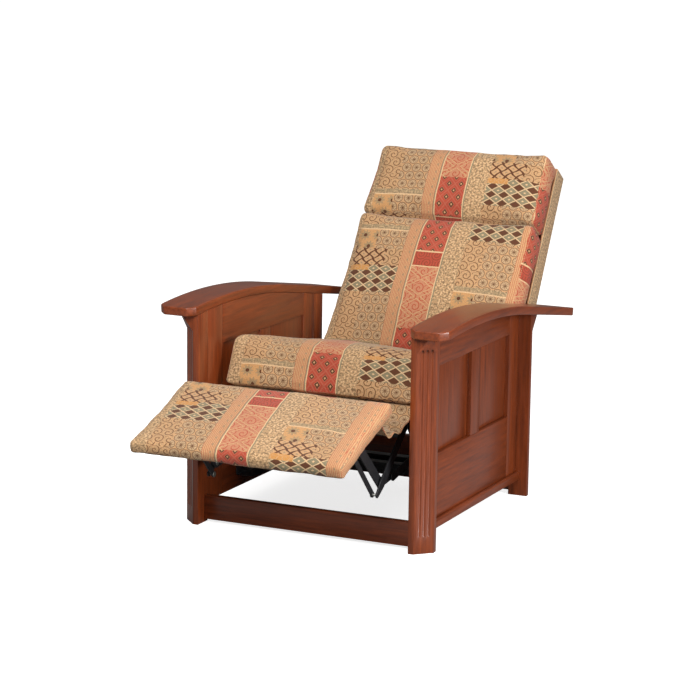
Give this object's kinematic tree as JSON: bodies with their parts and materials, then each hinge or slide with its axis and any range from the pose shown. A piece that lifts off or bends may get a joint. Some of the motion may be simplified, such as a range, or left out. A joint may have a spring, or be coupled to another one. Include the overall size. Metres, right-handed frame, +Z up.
{
  "type": "recliner",
  "caption": "Push-back recliner with a bow-arm wooden frame of fluted posts and panelled sides, upholstered back, seat and flip-out footrest, shown reclined.",
  "frame": {"origin": "centre of the footprint on the floor, with the chair reclined and its footrest out", "axes": "+X towards the sitter's left, +Y towards the chair's back, +Z up"},
  "size_m": [0.872, 1.6553, 0.9683],
  "materials": {
    "cherry_wood": "satin reddish-brown stain",
    "frame_wood": "raw hardwood",
    "patchwork_fabric": "woven tan, red and brown patchwork",
    "black_steel": "satin black paint",
    "spring_steel": "drawn wire",
    "zinc_fasteners": "zinc plated"
  },
  "bodies": {
    "frame": {"front_post_left": "cherry_wood", "front_post_right": "cherry_wood", "rear_post_left": "cherry_wood", "rear_post_right": "cherry_wood", "arm_left": "cherry_wood", "arm_right": "cherry_wood", "side_front_stile_left": "cherry_wood", "side_front_stile_right": "cherry_wood", "side_rear_stile_left": "cherry_wood", "side_rear_stile_right": "cherry_wood", "side_top_rail_left": "cherry_wood", "side_top_rail_right": "cherry_wood", "side_lower_rail_left": "cherry_wood", "side_lower_rail_right": "cherry_wood", "side_centre_stile_left": "cherry_wood", "side_centre_stile_right": "cherry_wood", "side_front_panel_left": "cherry_wood", "side_front_panel_right": "cherry_wood", "side_rear_panel_left": "cherry_wood", "side_rear_panel_right": "cherry_wood", "side_base_moulding_left": "cherry_wood", "side_base_moulding_right": "cherry_wood", "front_stretcher": "cherry_wood", "rear_stretcher": "cherry_wood", "base_channel_left": "black_steel", "base_channel_right": "black_steel", "base_cross_tubes": "black_steel", "channel_bolts": "zinc_fasteners", "seat_pivot_pins": "zinc_fasteners"},
    "seat": {"seat_side_rail_left": "frame_wood", "seat_side_rail_right": "frame_wood", "seat_front_rail": "frame_wood", "seat_rear_rail": "frame_wood", "seat_springs": "spring_steel", "seat_cushion": "patchwork_fabric", "front_apron": "patchwork_fabric", "seat_side_plate_left": "black_steel", "seat_side_plate_right": "black_steel", "seat_pins": "zinc_fasteners"},
    "back": {"back_stile_left": "frame_wood", "back_stile_right": "frame_wood", "back_lower_rail": "frame_wood", "back_top_rail": "frame_wood", "back_springs": "spring_steel", "lower_back_cushion": "patchwork_fabric", "headrest_cushion": "patchwork_fabric", "outside_back": "patchwork_fabric", "back_hinge_plates": "black_steel"},
    "rear_links": {"rear_link_left": "black_steel", "rear_link_right": "black_steel", "torque_tube": "black_steel", "rear_link_pins": "zinc_fasteners"},
    "front_links": {"front_link_left": "black_steel", "front_link_right": "black_steel"},
    "rear_followers": {"rear_followers": "black_steel"},
    "front_followers": {"front_followers": "black_steel"},
    "footrest": {"footrest_board": "frame_wood", "footrest_cushion": "patchwork_fabric", "footrest_brackets": "black_steel", "footrest_pins": "zinc_fasteners"}
  },
  "joints": [
    {"name": "seat_rock", "type": "hinge", "parent": "frame", "child": "seat", "pos_m": [0, -0.07438, 0.122], "axis": [1, 0, 0], "range_deg": [0, 12]},
    {"name": "back_fold", "type": "hinge", "parent": "seat", "child": "back", "pos_m": [0, 0.33042, 0.32603], "axis": [1, 0, 0], "range_deg": [0, 7]},
    {"name": "footrest_fold", "type": "hinge", "parent": "seat", "child": "rear_links", "pos_m": [0, -0.29438, 0.33], "axis": [1, 0, 0], "range_deg": [0, 38.98], "deforming": ["front_apron"]},
    {"name": "front_link_pivot", "type": "hinge", "parent": "rear_links", "child": "front_links", "pos_m": [0, -0.45238, 0.195], "axis": [1, 0, 0], "range_deg": [-85.6, 0]},
    {"name": "footrest_pivot", "type": "hinge", "parent": "front_links", "child": "footrest", "pos_m": [0, -0.61472, 0.34444], "axis": [1, 0, 0], "range_deg": [0, 104.6]},
    {"name": "rear_follower_pivot", "type": "hinge", "parent": "seat", "child": "rear_followers", "pos_m": [0, -0.21308, 0.2295], "axis": [1, 0, 0], "range_deg": [0, 55.5]},
    {"name": "front_follower_pivot", "type": "hinge", "parent": "rear_links", "child": "front_followers", "pos_m": [0, -0.48279, 0.16902], "axis": [1, 0, 0], "range_deg": [-81.9, 0]}
  ],
  "couplings": [
    {"joint": "back_fold", "follows": "seat_rock", "ratio": 0.58333},
    {"joint": "front_link_pivot", "follows": "footrest_fold", "ratio": -2.1942},
    {"joint": "footrest_pivot", "follows": "footrest_fold", "ratio": 2.6821},
    {"joint": "rear_follower_pivot", "follows": "footrest_fold", "ratio": 1.4228},
    {"joint": "front_follower_pivot", "follows": "footrest_fold", "ratio": -2.0985}
  ]
}
